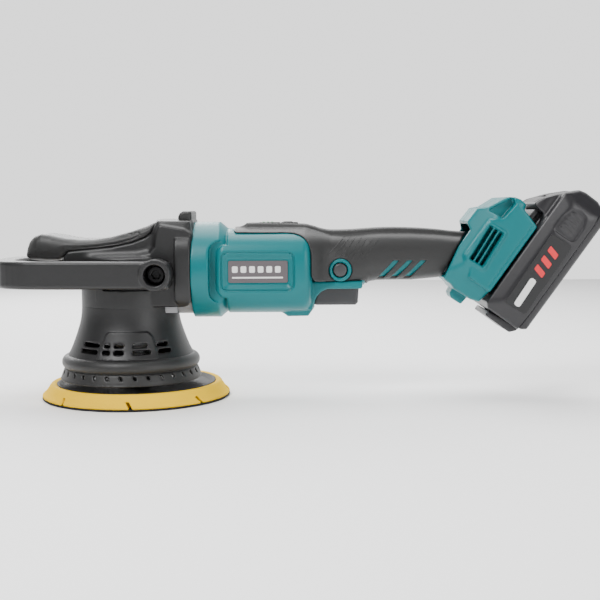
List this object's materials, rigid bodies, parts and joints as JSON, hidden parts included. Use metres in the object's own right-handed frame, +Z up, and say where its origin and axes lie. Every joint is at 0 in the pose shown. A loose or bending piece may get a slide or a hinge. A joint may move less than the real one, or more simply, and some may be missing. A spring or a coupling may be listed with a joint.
{
  "type": "dual action polisher",
  "caption": "Cordless random-orbit polisher with a loop handle, a rubber palm grip, a dished backing plate and a slide-on battery pack.",
  "frame": {"origin": "on the drive spindle's axis, in the plane of the plate's hook face", "axes": "+Z up along the spindle, +X back towards the battery, -Y the holder's left side"},
  "size_m": [0.4726, 0.15, 0.1626],
  "materials": {
    "teal_plastic": "fine moulded texture",
    "black_plastic": "fine moulded texture",
    "black_rubber": "soft overmould",
    "grey_plastic": "satin",
    "gloss_plastic": "gloss",
    "badge_plate": "satin print",
    "label_red": "printed",
    "yellow_foam": "closed cell foam",
    "hook_nylon": "hook tape",
    "aluminium": "die cast",
    "steel": "turned",
    "black_steel": "black oxide",
    "copper": "enamelled wire",
    "board": "solder resist"
  },
  "bodies": {
    "plate": {"hook_face": "hook_nylon", "plate_foam": "yellow_foam", "plate_hub": "black_plastic", "plate_stud": "steel", "pad_spindle": "steel"},
    "root": {"shroud": "black_plastic", "bumper_ring": "black_rubber", "dust_skirt": "black_rubber", "gear_case": "aluminium", "gear_case_cover": "aluminium", "head_cover": "black_plastic", "palm_grip": "black_rubber", "rest_bumper": "black_rubber", "loop_handle": "black_plastic", "loop_handle_bolts": "black_steel", "spindle_bearings": "steel", "head_screws": "steel", "motor_bearings": "steel", "motor_stator": "steel", "stator_windings": "copper", "motor_bracket": "black_plastic", "housing_left": "teal_plastic", "housing_right": "teal_plastic", "grip_left": "black_rubber", "grip_right": "black_rubber", "name_plate_left": "badge_plate", "name_plate_right": "badge_plate", "housing_screws": "steel", "trigger_pin": "steel", "trigger_spring": "steel", "trigger_switch": "black_plastic", "lock_bezel": "teal_plastic", "lock_spring": "steel", "control_panel": "gloss_plastic", "panel_lenses": "gloss_plastic", "controller_board": "board", "heat_sink": "aluminium", "terminal_block": "black_plastic", "terminal_blades": "copper"},
    "drive": {"spindle": "steel", "retaining_ring": "black_steel", "ring_gear": "steel", "counterweight": "aluminium", "eccentric_bearings": "steel"},
    "rotor": {"pinion_gear": "steel", "motor_shaft": "steel", "rotor_core": "steel", "rotor_magnets": "black_steel", "cooling_fan": "black_plastic"},
    "trigger": {"trigger": "grey_plastic"},
    "lock_button": {"lock_button": "grey_plastic"},
    "speed_button": {"speed_button": "grey_plastic"},
    "battery": {"battery_top_case": "black_plastic", "battery_bottom_case": "black_plastic", "battery_cells": "label_red", "battery_side_panels": "gloss_plastic", "battery_contacts": "copper", "battery_latch_spring": "steel"},
    "battery_latch": {"battery_latch": "black_plastic"}
  },
  "joints": [
    {"name": "drive_spin", "type": "hinge", "parent": "root", "child": "drive", "pos_m": [0, 0, 0.08], "axis": [0, 0, 1], "continuous": true},
    {"name": "plate_spin", "type": "hinge", "parent": "drive", "child": "plate", "pos_m": [0.003, 0.00687, 0.05], "axis": [0, 0, 1], "continuous": true},
    {"name": "rotor_spin", "type": "hinge", "parent": "root", "child": "rotor", "pos_m": [0.1, 0, 0.1023], "axis": [1, 0, 0], "continuous": true},
    {"name": "trigger_pull", "type": "hinge", "parent": "root", "child": "trigger", "pos_m": [0.1516, 0, 0.0906], "axis": [0, -1, 0], "range_deg": [0, 7], "stiffness_Nm_per_rad": 0.3, "springref_deg": -8.59},
    {"name": "lock_press", "type": "slide", "parent": "root", "child": "lock_button", "axis": [0, 1, 0], "range_m": [0, 0.0028], "stiffness_N_per_m": 400, "springref_m": -0.002},
    {"name": "speed_press", "type": "slide", "parent": "root", "child": "speed_button", "axis": [0, 0, -1], "range_m": [0, 0.0008], "stiffness_N_per_m": 600, "springref_m": -0.001},
    {"name": "battery_slide", "type": "slide", "parent": "root", "child": "battery", "axis": [0.5807, 0, 0.8141], "range_m": [0, 0.12]},
    {"name": "latch_press", "type": "slide", "parent": "battery", "child": "battery_latch", "axis": [-0.5807, 0, -0.8141], "range_m": [0, 0.0024], "stiffness_N_per_m": 500, "springref_m": -0.002}
  ],
  "couplings": [
    {"joint": "rotor_spin", "follows": "drive_spin", "ratio": 3.4545}
  ]
}
